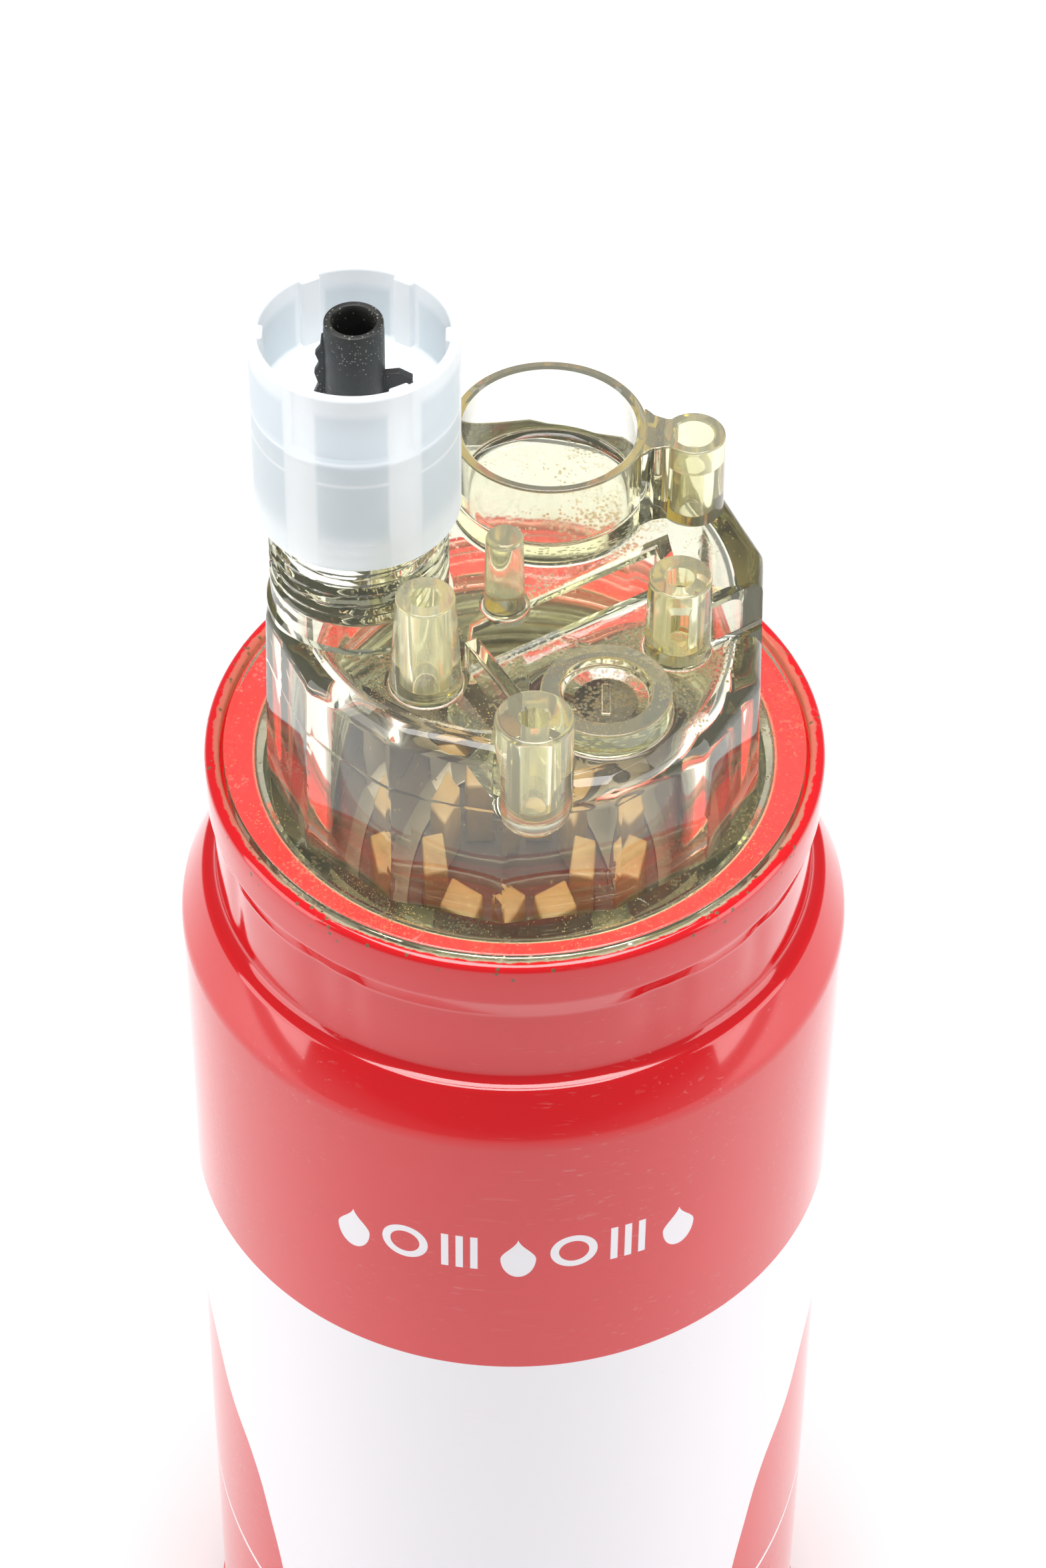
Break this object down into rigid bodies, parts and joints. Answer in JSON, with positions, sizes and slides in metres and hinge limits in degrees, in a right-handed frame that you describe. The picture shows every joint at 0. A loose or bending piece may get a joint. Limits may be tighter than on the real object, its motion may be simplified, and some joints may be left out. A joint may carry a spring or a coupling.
{
  "type": "spin-on fuel filter",
  "caption": "Tall steel spin-on fuel filter and water separator with a clear screw-in water bowl, and a screw-down drain valve with a hose nozzle.",
  "frame": {"origin": "on the can's axis at the lower face of the base gasket, the middle of the bounding box's base", "axes": "+Z along the can's axis from the base gasket up to the bowl; -Y towards the bowl's front screw column; +X towards the short boss"},
  "size_m": [0.112, 0.112, 0.3307],
  "materials": {
    "red_lacquer": "gloss lacquer",
    "black_rubber": "matt",
    "bare_steel": "zinc plated, satin",
    "spring_steel": "satin",
    "brown_potting": "cast resin",
    "pleated_paper": "fibrous",
    "glue": "hot-melt bead",
    "screen_mesh": "fine woven mesh",
    "clear_plastic": "clear moulded plastic, gloss",
    "milky_plastic": "milky natural nylon",
    "black_plastic": "satin"
  },
  "bodies": {
    "can": {"can_shell": "red_lacquer", "base_gasket": "black_rubber", "seaming_lid": "bare_steel", "tapping_plate": "bare_steel", "inner_grommet": "black_rubber", "element_lower_cap": "bare_steel", "lower_potting": "brown_potting", "centre_tube": "bare_steel", "water_screen": "screen_mesh", "filter_media": "pleated_paper", "pleat_band_1": "glue", "pleat_band_2": "glue", "pleat_band_3": "glue", "upper_potting": "brown_potting", "element_upper_cap": "brown_potting", "support_spring": "spring_steel", "bowl_collar": "bare_steel"},
    "bowl_seal": {"bowl_o_ring": "black_rubber"},
    "bowl": {"bowl": "clear_plastic"},
    "drain_valve": {"drain_valve": "black_plastic", "drain_valve_seal": "black_rubber"},
    "drain_cap": {"drain_cap": "milky_plastic"}
  },
  "joints": [
    {"name": "bowl_lift", "type": "slide", "parent": "can", "child": "bowl_seal", "axis": [0, 0, 1], "range_m": [0, 0.01201]},
    {"name": "bowl_turn", "type": "hinge", "parent": "bowl_seal", "child": "bowl", "pos_m": [0, 0, 0], "axis": [0, 0, 1], "range_deg": [0, 1440]},
    {"name": "drain_lift", "type": "slide", "parent": "bowl", "child": "drain_valve", "axis": [0, 0, 1], "range_m": [0, 0.00631]},
    {"name": "drain_turn", "type": "hinge", "parent": "drain_valve", "child": "drain_cap", "pos_m": [-0.02407, -0.0033, 0], "axis": [0, 0, 1], "range_deg": [0, 1080]}
  ],
  "couplings": [
    {"joint": "bowl_lift", "follows": "bowl_turn", "m_per_rad": 0.00047746},
    {"joint": "drain_lift", "follows": "drain_turn", "m_per_rad": 0.00033423}
  ]
}
